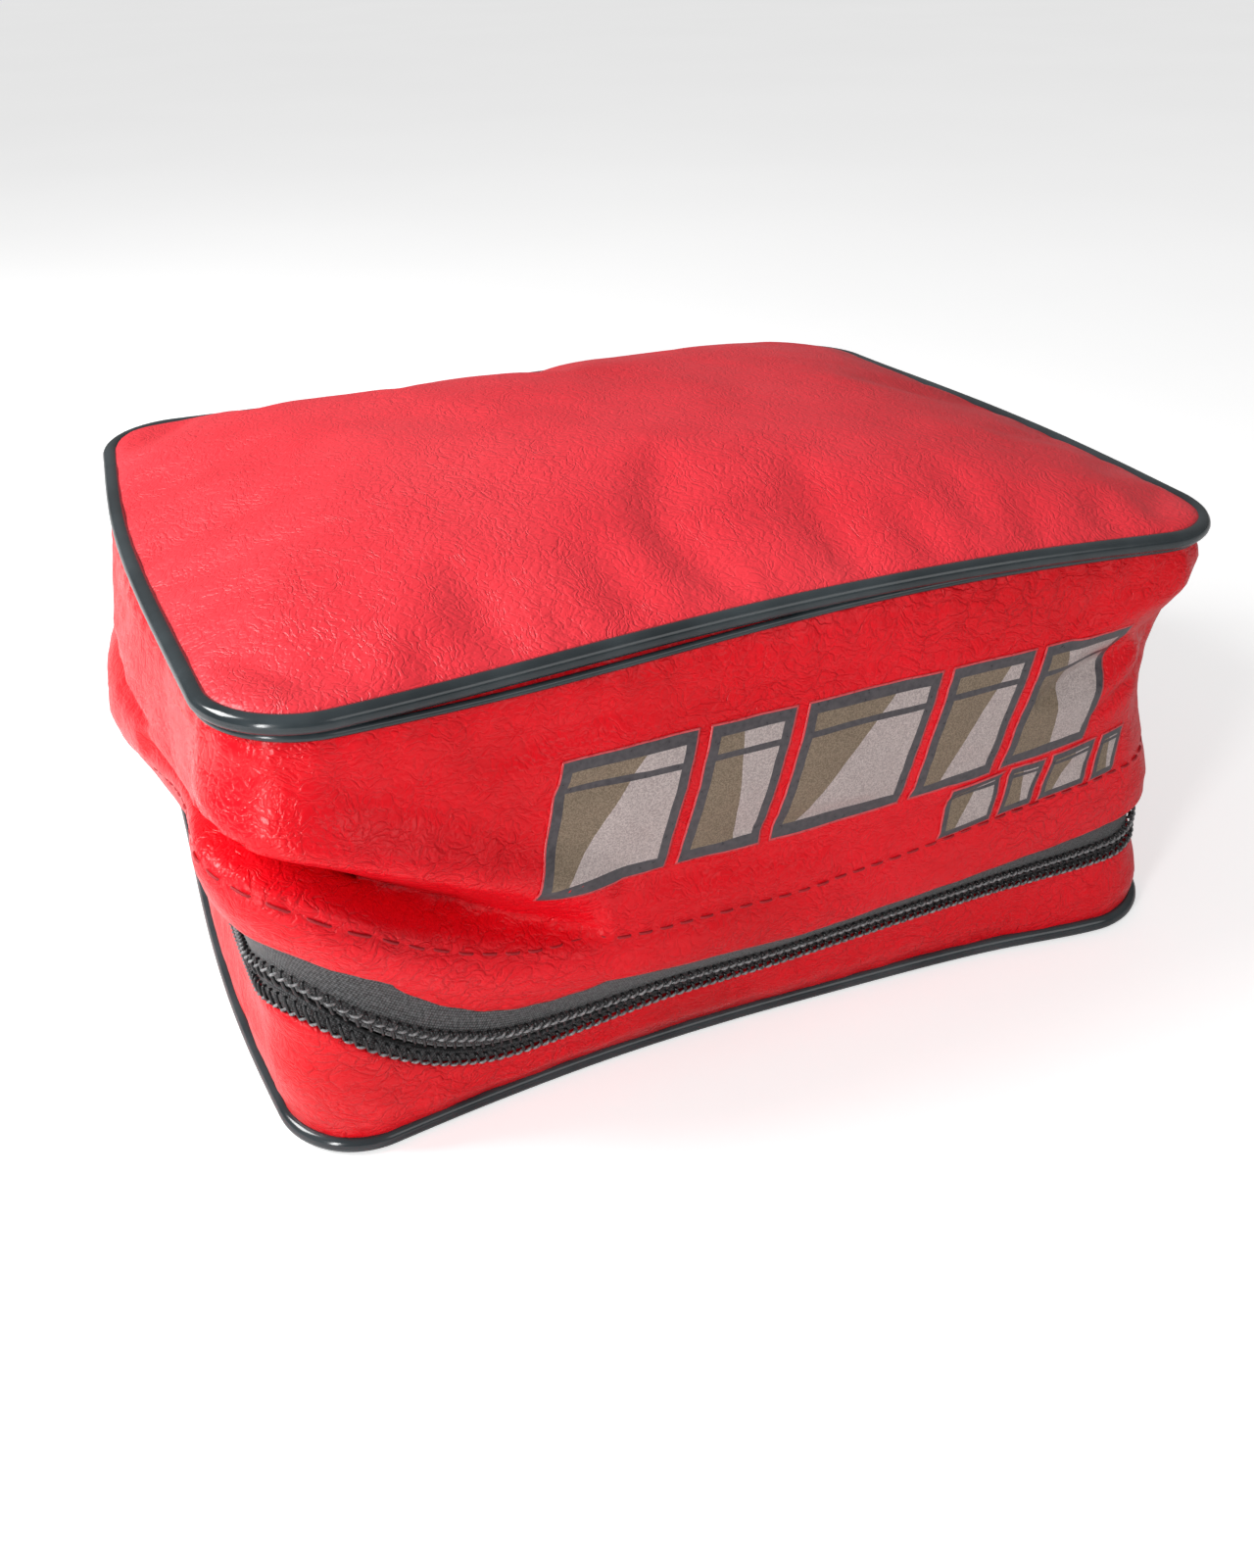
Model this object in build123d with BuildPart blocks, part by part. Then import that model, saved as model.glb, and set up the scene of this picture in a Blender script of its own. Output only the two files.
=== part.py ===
"""Soft rectangular case with a zip on three sides, in millimetres.

+X is the length, -Y the front and +Z up. The origin is the middle of the underside.
The case has two bodies of sewn vinyl, a shallow base and a deep lid, joined by a fold in the
back wall. Offsets named "out" are measured outward from the outer face of the base's wall.
"""
from build123d import *
import os

# Overall sizes
case_length = 226.0          # over the base's wall, along X
case_width = 180.0           # over the base's wall, along Y
corner_radius = 19.0         # plan radius of the base's wall
ring_height = 107.0          # floor to the middle of the top piping
zip_height = 26.0            # floor to the middle of the zip chain

# Sheet goods
vinyl = 1.2                  # coated fabric of panels and walls
piping_diameter = 4.0
flange_thickness = 0.8       # the piping's sewn-in flange
seam_depth = 5.0             # how far flange and seam allowance reach past the piping
crown_rise = 6.0             # how far the stuffed top stands above its piping
crown_inset = 42.0           # from the piping to the flat middle of the crown
hem_height = 37.0            # floor to the folded lower edge of the lid's wall
hem_turn = 15.0              # depth of the turned-under layer
hem_stitch_rise = 12.6       # hem's folded edge to its row of stitches

# Zip chain
chain_width = 7.5            # both coils together
coil_thickness = 2.6
chain_gap = 1.6              # between the two coils, where the slider's post runs
tape_thickness = 0.8
tape_width = 19.0            # middle of the chain to the outer edge of a tape
stop_length = 3.0
stop_proud = 0.5             # end stops over the coil
wall_to_coil = 0.3           # base wall's top edge to the coil

# Sewing
ply_gap = 0.1                # between layers that are sewn together
thread = 0.5
tape_stitch_inset = 4.0      # tape's edge to its row of stitches
seam_stitch_drop = 3.0       # piping to the seam's row of stitches

# Slider and pull
slider_length = 13.0
slider_width = 11.0
slider_tail_width = 8.6
slider_corner = 1.4
wing_thickness = 1.2
slider_clearance = 0.3       # wings to tape and coil
stop_clearance = 1.5         # slider to the end stops at rest
post_length = 4.0
post_inset = 3.5             # slider's wide end to the middle of its post
post_clearance = 0.3         # post to each coil
bridge_length = 8.4
bridge_width = 3.0
bridge_leg = 1.2
bridge_bar = 1.1
bridge_room = 2.3            # height under the bridge
pull_length = 26.0
pull_width = 8.0
pull_thickness = 1.2
pull_bar = 1.3               # end bar that turns under the bridge
pull_window = 5.6            # window past the end bar
window_width = 4.6
pull_corner = 2.0
grip_hole = 2.6              # diameter of the hole in the pull's end

# Printed decoration on the lid's front
print_thickness = 0.3
block_slant = 9.0            # how far a block leans over its height
large_block_height = 27.0
large_block_widths = (30.0, 20.0, 33.0, 22.0, 25.0)
large_block_gap = 2.5
large_end_inset = 6.0        # from the front's right corner, where its rounding starts
large_base = 61.5
small_block_height = 10.5
small_block_widths = (15.0, 10.0, 14.0, 8.0)
small_block_gap = 1.8
small_block_slant = 3.5
small_end_inset = 0.1

fold_gap = 0.3               # between the two halves of the back wall

# Offsets from the outer face of the base's wall
half_length = case_length / 2
half_width = case_width / 2
piping_radius = piping_diameter / 2
base_wall_in = -vinyl
tape_out = base_wall_in - ply_gap
tape_in = tape_out - tape_thickness
lid_wall_out = vinyl
base_flange_out = base_wall_in - ply_gap
base_flange_in = base_flange_out - flange_thickness
base_panel_out = base_flange_in - ply_gap
base_bead = base_flange_in + flange_thickness / 2 + piping_radius
lid_flange_out = -ply_gap
lid_flange_in = lid_flange_out - flange_thickness
lid_panel_out = lid_flange_in - ply_gap
lid_bead = lid_flange_in + flange_thickness / 2 + piping_radius
coil_out = tape_out + coil_thickness
back_half = half_length - corner_radius
chain_end = half_width - corner_radius - 1.0


def row_start(widths, gap, slant, end_inset):
    """X of the left end of a row of blocks whose right end lies end_inset before the corner."""
    return back_half - end_inset - slant - sum(widths) - gap * (len(widths) - 1)


large_left = row_start(large_block_widths, large_block_gap, block_slant, large_end_inset)
small_left = row_start(small_block_widths, small_block_gap, small_block_slant, small_end_inset)

# Heights
base_wall_top = zip_height - chain_width / 2 - wall_to_coil
base_wall_bottom = piping_diameter + ply_gap
base_seam_top = piping_diameter + seam_depth
lid_wall_top = ring_height - piping_radius - ply_gap
lid_seam_bottom = lid_wall_top - seam_depth
lower_chain_top = zip_height - chain_gap / 2
upper_chain_bottom = zip_height + chain_gap / 2
lower_tape_bottom = max(zip_height - tape_width, base_seam_top + fold_gap)
upper_tape_top = zip_height + tape_width


def outline(out, mode=Mode.ADD):
    """Plan of the case at an offset, in the active sketch."""
    RectangleRounded(case_length + 2 * out, case_width + 2 * out, corner_radius + out, mode=mode)


def band(outer, inner):
    """Closed band between two offsets, in the active sketch."""
    outline(outer)
    outline(inner, mode=Mode.SUBTRACT)


def open_at_back():
    """Takes the straight back off the active sketch, where the back wall is sewn in."""
    with Locations((0, half_width)):
        Rectangle(2 * back_half, case_width, mode=Mode.SUBTRACT)


def open_past_chain():
    """Takes everything behind the ends of the zip chain off the active sketch."""
    with Locations((0, chain_end + case_width / 2)):
        Rectangle(2 * case_length, case_width, mode=Mode.SUBTRACT)


def bead_ring(out, height):
    """Round bead along the plan at an offset, in the active part."""
    side_x = half_length + out
    side_y = half_width + out
    corner_x = half_length - corner_radius
    corner_y = half_width - corner_radius
    with Locations((0, side_y, height), (0, -side_y, height)):
        Cylinder(piping_radius, 2 * corner_x, rotation=(0, 90, 0))
    with Locations((side_x, 0, height), (-side_x, 0, height)):
        Cylinder(piping_radius, 2 * corner_y, rotation=(90, 0, 0))
    quarters = [(1, 1, 0), (-1, 1, 90), (-1, -1, 180), (1, -1, 270)]
    for right, back, turn in quarters:
        with Locations(Location((right * corner_x, back * corner_y, height), (0, 0, turn))):
            Torus(corner_radius + out, piping_radius, major_angle=90, align=None)


def leaning_block(left, base, width, height, slant):
    """Block with a slanted left and right side, in the active sketch."""
    corners = [(0, 0), (width, 0), (width + slant, height), (slant, height)]
    Polygon(*[(left + x, base + z) for x, z in corners], align=None)


def row_of_blocks(left, base, widths, gap, height, slant):
    """Leaning blocks side by side, in the active sketch."""
    for width in widths:
        leaning_block(left, base, width, height, slant)
        left = left + width + gap


# ---- Base ----

# Bottom panel: a flat sheet with its seam allowance turned up inside the piping's flange
with BuildPart() as bottom_panel:
    with BuildSketch(Plane.XY):
        outline(base_panel_out)
    extrude(amount=vinyl)
    with BuildSketch(Plane.XY.offset(vinyl)):
        band(base_panel_out, base_panel_out - vinyl)
    extrude(amount=base_seam_top - vinyl)

# Bottom piping: a round bead on the corner of the case, with a flange up inside the wall
with BuildPart() as bottom_piping:
    bead_ring(base_bead, piping_radius)
    with BuildSketch(Plane.XY.offset(piping_radius)):
        band(base_flange_out, base_flange_in)
    extrude(amount=base_seam_top - piping_radius)

# Base wall: one strip round the left side, front and right side
with BuildPart() as lower_wall:
    with BuildSketch(Plane.XY.offset(base_wall_bottom)):
        band(0, base_wall_in)
        open_at_back()
    extrude(amount=base_wall_top - base_wall_bottom)

# Back wall below the fold
with BuildPart() as back_wall_lower:
    with BuildSketch(Plane.XY.offset(base_wall_bottom)):
        with Locations((0, half_width - vinyl / 2)):
            Rectangle(2 * back_half, vinyl)
    extrude(amount=zip_height - fold_gap / 2 - base_wall_bottom)

# Lower half of the zip: woven tape, coil on its outer face, and the chain's stops
with BuildPart() as lower_zip_tape:
    with BuildSketch(Plane.XY.offset(lower_tape_bottom)):
        band(tape_out, tape_in)
        open_at_back()
    extrude(amount=lower_chain_top - lower_tape_bottom)

with BuildPart() as lower_zip_coil:
    with BuildSketch(Plane.XY.offset(zip_height - chain_width / 2)):
        band(coil_out, tape_out)
        open_past_chain()
    extrude(amount=(chain_width - chain_gap) / 2)

stop_size = (coil_thickness + stop_proud, stop_length)
stop_middle = coil_out + stop_proud - stop_size[0] / 2
with BuildPart() as lower_end_stop:
    with BuildSketch(Plane.XY.offset(zip_height - chain_width / 2)):
        with Locations((half_length + stop_middle, chain_end + stop_length / 2)):
            RectangleRounded(*stop_size, stop_proud)
    extrude(amount=(chain_width - chain_gap) / 2)

with BuildPart() as start_stop:
    with BuildSketch(Plane.XY.offset(zip_height - chain_width / 2)):
        with Locations((-half_length - stop_middle, chain_end + stop_length / 2)):
            RectangleRounded(*stop_size, stop_proud)
    extrude(amount=chain_width)

# Inside runs of the sewing thread in the base
with BuildPart() as lower_tape_thread:
    with BuildSketch(Plane.XY.offset(lower_tape_bottom + tape_stitch_inset)):
        band(tape_in, tape_in - thread)
        open_at_back()
    extrude(amount=thread)

with BuildPart() as bottom_seam_thread:
    with BuildSketch(Plane.XY.offset(piping_diameter + seam_stitch_drop)):
        band(base_panel_out - vinyl, base_panel_out - vinyl - thread)
    extrude(amount=thread)

with BuildPart() as lower_back_seam_threads:
    with BuildSketch(Plane.XY.offset(base_seam_top)):
        with Locations((0, half_width + base_wall_in - thread / 2)):
            with GridLocations(2 * back_half - 2 * thread, 1, 2, 1):
                Rectangle(thread, thread)
    extrude(amount=lower_chain_top - base_seam_top)

# ---- Lid ----

# Top panel: a crowned sheet with its seam allowance turned down inside the piping's flange
with BuildPart() as top_panel:
    with BuildSketch(Plane.XY.offset(ring_height)):
        outline(lid_panel_out)
    with BuildSketch(Plane.XY.offset(ring_height + crown_rise)):
        RectangleRounded(case_length - 2 * crown_inset, case_width - 2 * crown_inset, corner_radius)
    loft()
    with BuildSketch(Plane.XY.offset(ring_height)):
        outline(lid_panel_out - vinyl)
    with BuildSketch(Plane.XY.offset(ring_height + crown_rise - vinyl)):
        RectangleRounded(case_length - 2 * crown_inset, case_width - 2 * crown_inset, corner_radius)
    loft(mode=Mode.SUBTRACT)
    with BuildSketch(Plane.XY.offset(lid_seam_bottom)):
        band(lid_panel_out, lid_panel_out - vinyl)
    extrude(amount=ring_height - lid_seam_bottom)

# Top piping, with its flange down inside the wall
with BuildPart() as top_piping:
    bead_ring(lid_bead, ring_height)
    with BuildSketch(Plane.XY.offset(lid_seam_bottom)):
        band(lid_flange_out, lid_flange_in)
    extrude(amount=ring_height - lid_seam_bottom)

# Lid wall: one strip round three sides, its lower edge turned under as a doubled hem that
# hangs over the upper tape
with BuildPart() as upper_wall:
    with BuildSketch(Plane.XY.offset(hem_height)):
        band(lid_wall_out, 0)
        open_at_back()
    extrude(amount=lid_wall_top - hem_height)
    with BuildSketch(Plane.XY.offset(hem_height)):
        band(0, base_wall_in)
        open_at_back()
    extrude(amount=hem_turn)

# Back wall above the fold
with BuildPart() as back_wall_upper:
    with BuildSketch(Plane.XY.offset(zip_height + fold_gap / 2)):
        with Locations((0, half_width + vinyl / 2)):
            Rectangle(2 * back_half, vinyl)
    extrude(amount=lid_wall_top - zip_height - fold_gap / 2)

# Upper half of the zip
with BuildPart() as upper_zip_tape:
    with BuildSketch(Plane.XY.offset(upper_chain_bottom)):
        band(tape_out, tape_in)
        open_at_back()
    extrude(amount=upper_tape_top - upper_chain_bottom)

with BuildPart() as upper_zip_coil:
    with BuildSketch(Plane.XY.offset(upper_chain_bottom)):
        band(coil_out, tape_out)
        open_past_chain()
    extrude(amount=(chain_width - chain_gap) / 2)

with BuildPart() as upper_end_stop:
    with BuildSketch(Plane.XY.offset(upper_chain_bottom)):
        with Locations((half_length + stop_middle, chain_end + stop_length / 2)):
            RectangleRounded(*stop_size, stop_proud)
    extrude(amount=(chain_width - chain_gap) / 2)

# Sewing thread in the lid: the hem's outside row and the inside runs of the seams
with BuildPart() as hem_thread:
    with BuildSketch(Plane.XY.offset(hem_height + hem_stitch_rise - thread / 2)):
        band(lid_wall_out + thread, lid_wall_out)
        open_at_back()
    extrude(amount=thread)

with BuildPart() as upper_tape_thread:
    with BuildSketch(Plane.XY.offset(upper_tape_top - tape_stitch_inset)):
        band(tape_in, tape_in - thread)
        open_at_back()
    extrude(amount=thread)

with BuildPart() as top_seam_thread:
    with BuildSketch(Plane.XY.offset(lid_wall_top - seam_stitch_drop)):
        band(lid_panel_out - vinyl, lid_panel_out - vinyl - thread)
    extrude(amount=thread)

with BuildPart() as upper_back_seam_threads:
    with BuildSketch(Plane.XY.offset(hem_height + hem_turn)):
        with Locations((0, half_width - thread / 2)):
            with GridLocations(2 * back_half - 2 * thread, 1, 2, 1):
                Rectangle(thread, thread)
    extrude(amount=lid_seam_bottom - hem_height - hem_turn)

# Printed blocks on the lid's front
front_face = Plane.XZ.offset(half_width + lid_wall_out)
with BuildPart() as large_graphic:
    with BuildSketch(front_face):
        row_of_blocks(
            large_left, large_base, large_block_widths, large_block_gap, large_block_height, block_slant
        )
    extrude(amount=print_thickness)

small_base = hem_height + hem_stitch_rise + thread
with BuildPart() as small_graphic:
    with BuildSketch(front_face):
        row_of_blocks(
            small_left, small_base, small_block_widths, small_block_gap, small_block_height, small_block_slant
        )
    extrude(amount=print_thickness)

# ---- Slider and pull, on the right side at the closed end of the chain ----

slider_y = chain_end - stop_clearance - slider_length / 2
inner_wing_top = half_length + tape_in - slider_clearance
outer_wing_base = half_length + coil_out + slider_clearance
outer_wing_top = outer_wing_base + wing_thickness


def wing_outline():
    """Shield shape of a wing, wide end towards the end stops, in the active sketch."""
    shield = Polygon(
        (slider_y - slider_length / 2, zip_height - slider_tail_width / 2),
        (slider_y + slider_length / 2, zip_height - slider_width / 2),
        (slider_y + slider_length / 2, zip_height + slider_width / 2),
        (slider_y - slider_length / 2, zip_height + slider_tail_width / 2),
        align=None,
    )
    fillet(shield.vertices(), slider_corner)


# Slider: two wings joined by a post that runs between the coils
with BuildPart() as slider_body:
    with BuildSketch(Plane.YZ.offset(inner_wing_top - wing_thickness)):
        wing_outline()
    extrude(amount=wing_thickness)
    with BuildSketch(Plane.YZ.offset(outer_wing_base)):
        wing_outline()
    extrude(amount=wing_thickness)
    with BuildSketch(Plane.YZ.offset(inner_wing_top)):
        with Locations((slider_y + slider_length / 2 - post_inset, zip_height)):
            Ellipse(post_length / 2, chain_gap / 2 - post_clearance)
    extrude(amount=outer_wing_base - inner_wing_top)

# Bridge: an arch on the outer wing that holds the pull
with BuildPart() as slider_bridge:
    with BuildSketch(Plane.XY.offset(zip_height - bridge_width / 2)):
        with Locations((outer_wing_top + (bridge_room + bridge_bar) / 2, slider_y)):
            Rectangle(bridge_room + bridge_bar, bridge_length)
        with Locations((outer_wing_top + bridge_room / 2, slider_y)):
            Rectangle(bridge_room, bridge_length - 2 * bridge_leg, mode=Mode.SUBTRACT)
    extrude(amount=bridge_width)
    outer_corners = slider_bridge.edges().filter_by(Axis.Z).group_by(Axis.X)[-1]
    fillet(outer_corners, bridge_bar * 0.8)

# Pull: a flat tab whose end bar turns under the bridge
pull_axis_x = outer_wing_top + bridge_room / 2
with BuildPart() as pull_tab:
    with BuildSketch(Plane.YZ.offset(pull_axis_x - pull_thickness / 2)):
        with Locations((slider_y - pull_bar / 2 + pull_length / 2, zip_height)):
            Rectangle(pull_length, pull_width)
        with Locations((slider_y + pull_bar / 2 + pull_window / 2, zip_height)):
            Rectangle(pull_window, window_width, mode=Mode.SUBTRACT)
        with Locations((slider_y - pull_bar / 2 + pull_length - pull_width / 2, zip_height)):
            Circle(grip_hole / 2, mode=Mode.SUBTRACT)
    extrude(amount=pull_thickness)
    grip_corners = pull_tab.edges().filter_by(Axis.X).group_by(Axis.Y)[-1]
    fillet(grip_corners, pull_corner)

pieces = {
    "bottom_panel": bottom_panel,
    "bottom_piping": bottom_piping,
    "lower_wall": lower_wall,
    "back_wall_lower": back_wall_lower,
    "lower_zip_tape": lower_zip_tape,
    "lower_zip_coil": lower_zip_coil,
    "lower_end_stop": lower_end_stop,
    "start_stop": start_stop,
    "lower_tape_thread": lower_tape_thread,
    "bottom_seam_thread": bottom_seam_thread,
    "lower_back_seam_threads": lower_back_seam_threads,
    "top_panel": top_panel,
    "top_piping": top_piping,
    "upper_wall": upper_wall,
    "back_wall_upper": back_wall_upper,
    "upper_zip_tape": upper_zip_tape,
    "upper_zip_coil": upper_zip_coil,
    "upper_end_stop": upper_end_stop,
    "hem_thread": hem_thread,
    "upper_tape_thread": upper_tape_thread,
    "top_seam_thread": top_seam_thread,
    "upper_back_seam_threads": upper_back_seam_threads,
    "large_graphic": large_graphic,
    "small_graphic": small_graphic,
    "slider_body": slider_body,
    "slider_bridge": slider_bridge,
    "pull_tab": pull_tab,
}

os.makedirs("parts", exist_ok=True)
for name, piece in pieces.items():
    piece.part.label = name
    export_step(piece.part, f"parts/{name}.step")
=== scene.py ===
"""Looks of the soft zip case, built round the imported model.

Lengths are millimetres in the row frame until a mesh is made. A place on the soft walls is given by
its distance along the wall, starting at the middle of the back and running over the left side, front
and right side, by its height, and by how far out it lies from the outer face of the base's wall.
"""
import math

import bpy
import numpy as np
from mathutils import Matrix, Vector, noise


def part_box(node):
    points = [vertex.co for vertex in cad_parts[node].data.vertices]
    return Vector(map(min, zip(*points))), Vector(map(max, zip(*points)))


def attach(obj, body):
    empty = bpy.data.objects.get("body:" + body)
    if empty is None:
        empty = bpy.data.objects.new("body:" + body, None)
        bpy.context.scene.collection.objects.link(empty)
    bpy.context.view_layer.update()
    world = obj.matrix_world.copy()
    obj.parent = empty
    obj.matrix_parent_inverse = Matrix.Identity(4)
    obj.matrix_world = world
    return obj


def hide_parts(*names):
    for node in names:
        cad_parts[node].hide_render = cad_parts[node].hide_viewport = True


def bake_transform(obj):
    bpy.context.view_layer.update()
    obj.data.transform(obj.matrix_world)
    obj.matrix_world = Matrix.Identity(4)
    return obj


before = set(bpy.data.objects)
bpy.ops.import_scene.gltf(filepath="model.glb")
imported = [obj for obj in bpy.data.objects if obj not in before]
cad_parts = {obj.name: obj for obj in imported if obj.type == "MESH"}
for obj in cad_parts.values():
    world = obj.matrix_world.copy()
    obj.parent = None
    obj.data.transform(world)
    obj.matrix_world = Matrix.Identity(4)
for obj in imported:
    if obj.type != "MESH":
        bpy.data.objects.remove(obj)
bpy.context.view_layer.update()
MM = 0.001


def size(node):
    """Lowest and highest corner of a CAD node, in millimetres."""
    low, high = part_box(node)
    return np.array(low) / MM, np.array(high) / MM


# ---- Sizes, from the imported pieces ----

base_low, base_high = size("lower_wall")
half_length = base_high[0]
half_width = -base_low[1]
straight_x = size("back_wall_lower")[1][0]
corner = half_length - straight_x
straight_y = half_width - corner
base_wall_bottom = base_low[2]
base_wall_top = base_high[2]
hem_height = size("upper_wall")[0][2]
lid_wall_top = size("upper_wall")[1][2]
lid_out = size("upper_wall")[1][0] - half_length
chain_low = size("lower_zip_coil")[0][2]
chain_high = size("upper_zip_coil")[1][2]
zip_height = (chain_low + chain_high) / 2
chain_end = size("lower_zip_coil")[1][1]
lower_tape_bottom = size("lower_zip_tape")[0][2]
upper_tape_top = size("upper_zip_tape")[1][2]
stitch_height = (size("hem_thread")[0][2] + size("hem_thread")[1][2]) / 2
ring_top = size("top_piping")[1][2]
crown_top = size("top_panel")[1][2]

vinyl = 1.2
bead = 2.0
ring_height = ring_top - bead
top_bead_out = size("top_piping")[1][0] - half_length - bead
bottom_bead_out = size("bottom_piping")[1][0] - half_length - bead
tape_mid_out = -1.7
tape_thick = 0.8
hem_turn = 15.0
grid_step = 1.5

# ---- The wall's line in plan ----

quarter = math.pi * corner / 2
side = [quarter, 2 * straight_y, quarter]
runs = [straight_x, *side, 2 * straight_x, *side, straight_x]
marks = np.concatenate([[0.0], np.cumsum(runs)])
around = marks[-1]
plan_x = np.array([0, -1, -1, -1, -1, 1, 1, 1, 1, 0]) * straight_x
plan_y = np.array([1, 1, 1, -1, -1, -1, -1, 1, 1, 1]) * straight_y
plan_turn = np.radians([90, 90, 180, 180, 270, 270, 360, 360, 450, 450])


def left(y):
    """Distance along the wall of a place on the left side."""
    return marks[2] + straight_y - y


def front(x):
    """Distance along the wall of a place on the front."""
    return marks[4] + straight_x + x


def right(y):
    """Distance along the wall of a place on the right side."""
    return marks[6] + straight_y + y


front_left = (marks[3] + marks[4]) / 2
front_right = (marks[5] + marks[6]) / 2
back_right = (marks[7] + marks[8]) / 2
wall_start, wall_end = marks[1], marks[8]

# ---- How the stuffed, handled case departs from its plain shape ----
# Each row: place along, height, reach along, reach up, amount

PUSHES = [
    (front(0), 111, 60, 15, -6.0),            # top edge drawn in along the front
    (marks[1] + 10, 108, 30, 14, -2.5),
    (front_right, 111, 20, 9, 0.8),
    (front(20), 80, 70, 16, 2.0),             # front panel pressed out by what is inside
    (left(5), 82, 46, 17, 8.5),               # left side bellies out
    (left(15), 56, 36, 15, 12.0),
    (left(-58), 46, 20, 14, 2.0),             # hem flares towards the front left corner
    (front_left, 46, 20, 11, 5.5),
    (front(-50), 43, 40, 9, 5.0),
    (front(30), 42, 60, 9, 3.0),
    (front_right, 69, 14, 15, -7.5),          # right corner pinched in below its top
    (front(-35), 0, 64, 10, -8.0),            # bottom edge rolled under along the front
    (left(-25), 3, 55, 12, 4.5),
    (front_right - 10, 4, 20, 11, 4.5),
    (front(-20), 10, 90, 5, 2.6),             # base wall bellies a little
    (left(20), 15, 50, 5, 1.2),
    (right(-20), 80, 40, 20, 2.5),
]
LIFTS = [
    (front(20), 112, 70, 14, 2.6),            # top edge a little higher in front, lower at the back
    (front_right, 112, 26, 14, -1.6),
    (back_right, 108, 40, 14, -2.5),
    (marks[1] + 10, 112, 30, 14, 1.5),
]
# How far three lines ride up or sag. Each row: place along, rises of the zip, the hem's edge and its
# stitches. The front's rises are a scratch script's back-projection of those lines in the photo,
# rounded by hand. The rest are judged.
RIDE = [
    (left(60), 0, 0, 0), (left(20), 2, 5, 6), (left(-20), 6, 13, 16), (left(-50), 11, 22, 25),
    (left(-68), 17, 27, 29), (front_left - 4, 22, 29, 30), (front_left + 4, 19, 26, 26),
    (front(-98), 10, 21, 19), (front(-90), 2, 15, 12), (front(-82), -4, 10, 6), (front(-70), -8, 4, 0),
    (front(-55), -7, 0.5, -4), (front(-30), -4, -3, -6), (front(0), -4.5, -7, -7.5),
    (front(30), -3.5, -7.5, -6.5), (front(60), -3, -6.5, -3.5), (front(88), -3.5, -6, -1.5),
    (front_right - 4, -2.5, -4, -2), (right(-76), 0, 0, 0),
]
# Each row: from (along, height) to (along, height), reach above and below the line, depth.
# A crease narrows towards its second end. The ends of the fold and pinches at the front left corner
# follow points back-projected from the photo in the same way.
CREASES = [
    (left(-62), 66, front(-45), 50, 7.0, 2.8, -10.0),       # deep diagonal fold over the front left corner
    (left(-66), 90, front(-42), 59, 8.0, 6.0, 5.0),        # roll above it
    (left(-20), 66, left(-64), 58, 4.0, 6.0, -5.0),
    (front(-112), 60, front(-86), 52.5, 1.6, 2.4, -2.6),   # pinches beside the stitches
    (front(-106), 56, front(-82), 50.5, 1.5, 2.0, 1.6),
    (left(-72), 88, front(-98), 66, 1.6, 1.6, -1.4),
    (left(-66), 74, front(-104), 84, 1.6, 1.6, -1.2),
    (front(114), 84, front(62), 76, 5.0, 4.0, -4.2),       # creases into the pinched right corner
    (front(112), 99, front(70), 88, 4.0, 4.0, 2.2),
    (front(112), 78, front(80), 66, 2.5, 2.5, -2.0),
    (left(66), 84, left(-30), 76, 3.5, 6.0, -4.0),         # long crease on the left side
    (left(66), 70, left(10), 64, 3.0, 3.0, -2.0),
    (front(-36), 60, front(22), 57, 1.4, 2.2, -1.3),       # shallow creases across the front
    (front(-16), 65, front(42), 62, 1.4, 2.0, -1.1),
    (front(10), 54, front(64), 60, 1.4, 2.2, -1.0),
    (front(-64), 80, front(-34), 84, 1.6, 2.4, -1.1),
    (front(-70), 92, front(-30), 96, 1.6, 2.4, -0.9),
    (front(-48), 92.5, front(90), 93, 0.8, 0.8, -0.45),    # line pressed in by storage
    (right(60), 58, right(0), 70, 6.0, 6.0, -2.0),
    (right(20), 82, right(-40), 58, 5.0, 5.0, -1.8),
]


def bell(distance, reach):
    """Share left at a distance from the middle of a smooth bump."""
    return np.exp(-((distance / reach) ** 2) / 2)


def crease(along, height, row):
    """Depth of one crease at a place."""
    start = np.array(row[0:2])
    run = np.array(row[2:4]) - start
    length = math.hypot(*run)
    run = run / length
    from_start = np.stack([along - start[0], height - start[1]], -1)
    travelled = np.clip(from_start @ run / length, 0, 1)
    up = np.array([-run[1], run[0]]) * np.sign(run[0])
    across = from_start @ up
    reach = np.where(across > 0, row[4], row[5]) * (1 - 0.6 * travelled)
    fade = np.sqrt(np.clip(4 * travelled, 0, 1) * np.clip(3 * (1 - travelled), 0, 1))
    return row[6] * fade * bell(across, reach)


ride_cell = 2.0
ride_low, ride_high = -10, 122


def ride_grid():
    """Rises of RIDE on a grid of cells, smoothed both ways."""
    along = np.arange(0, around + ride_cell, ride_cell)
    height = np.arange(ride_low, ride_high, ride_cell)
    table = np.array(RIDE, float)
    zip_rise, hem_rise, stitch_rise = (np.interp(along, table[:, 0], table[:, k]) for k in (1, 2, 3))
    still = 0 * along
    levels = [ride_low, 6, zip_height, hem_height, stitch_height, 64, 84, ride_high]
    rises = [still, still, zip_rise, hem_rise, stitch_rise, 0.55 * stitch_rise, 0.08 * stitch_rise, still]
    grid = np.array([np.interp(height, levels, column) for column in np.array(rises).T])
    for axis, reach in ((0, 2.2), (1, 1.8)):
        kernel = np.exp(-(np.arange(-6, 7) / reach) ** 2 / 2)
        kernel = kernel / kernel.sum()
        grid = np.apply_along_axis(
            lambda line: np.convolve(np.pad(line, 6, "edge"), kernel, "valid"), axis, grid
        )
    return grid


rides = ride_grid()


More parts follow.
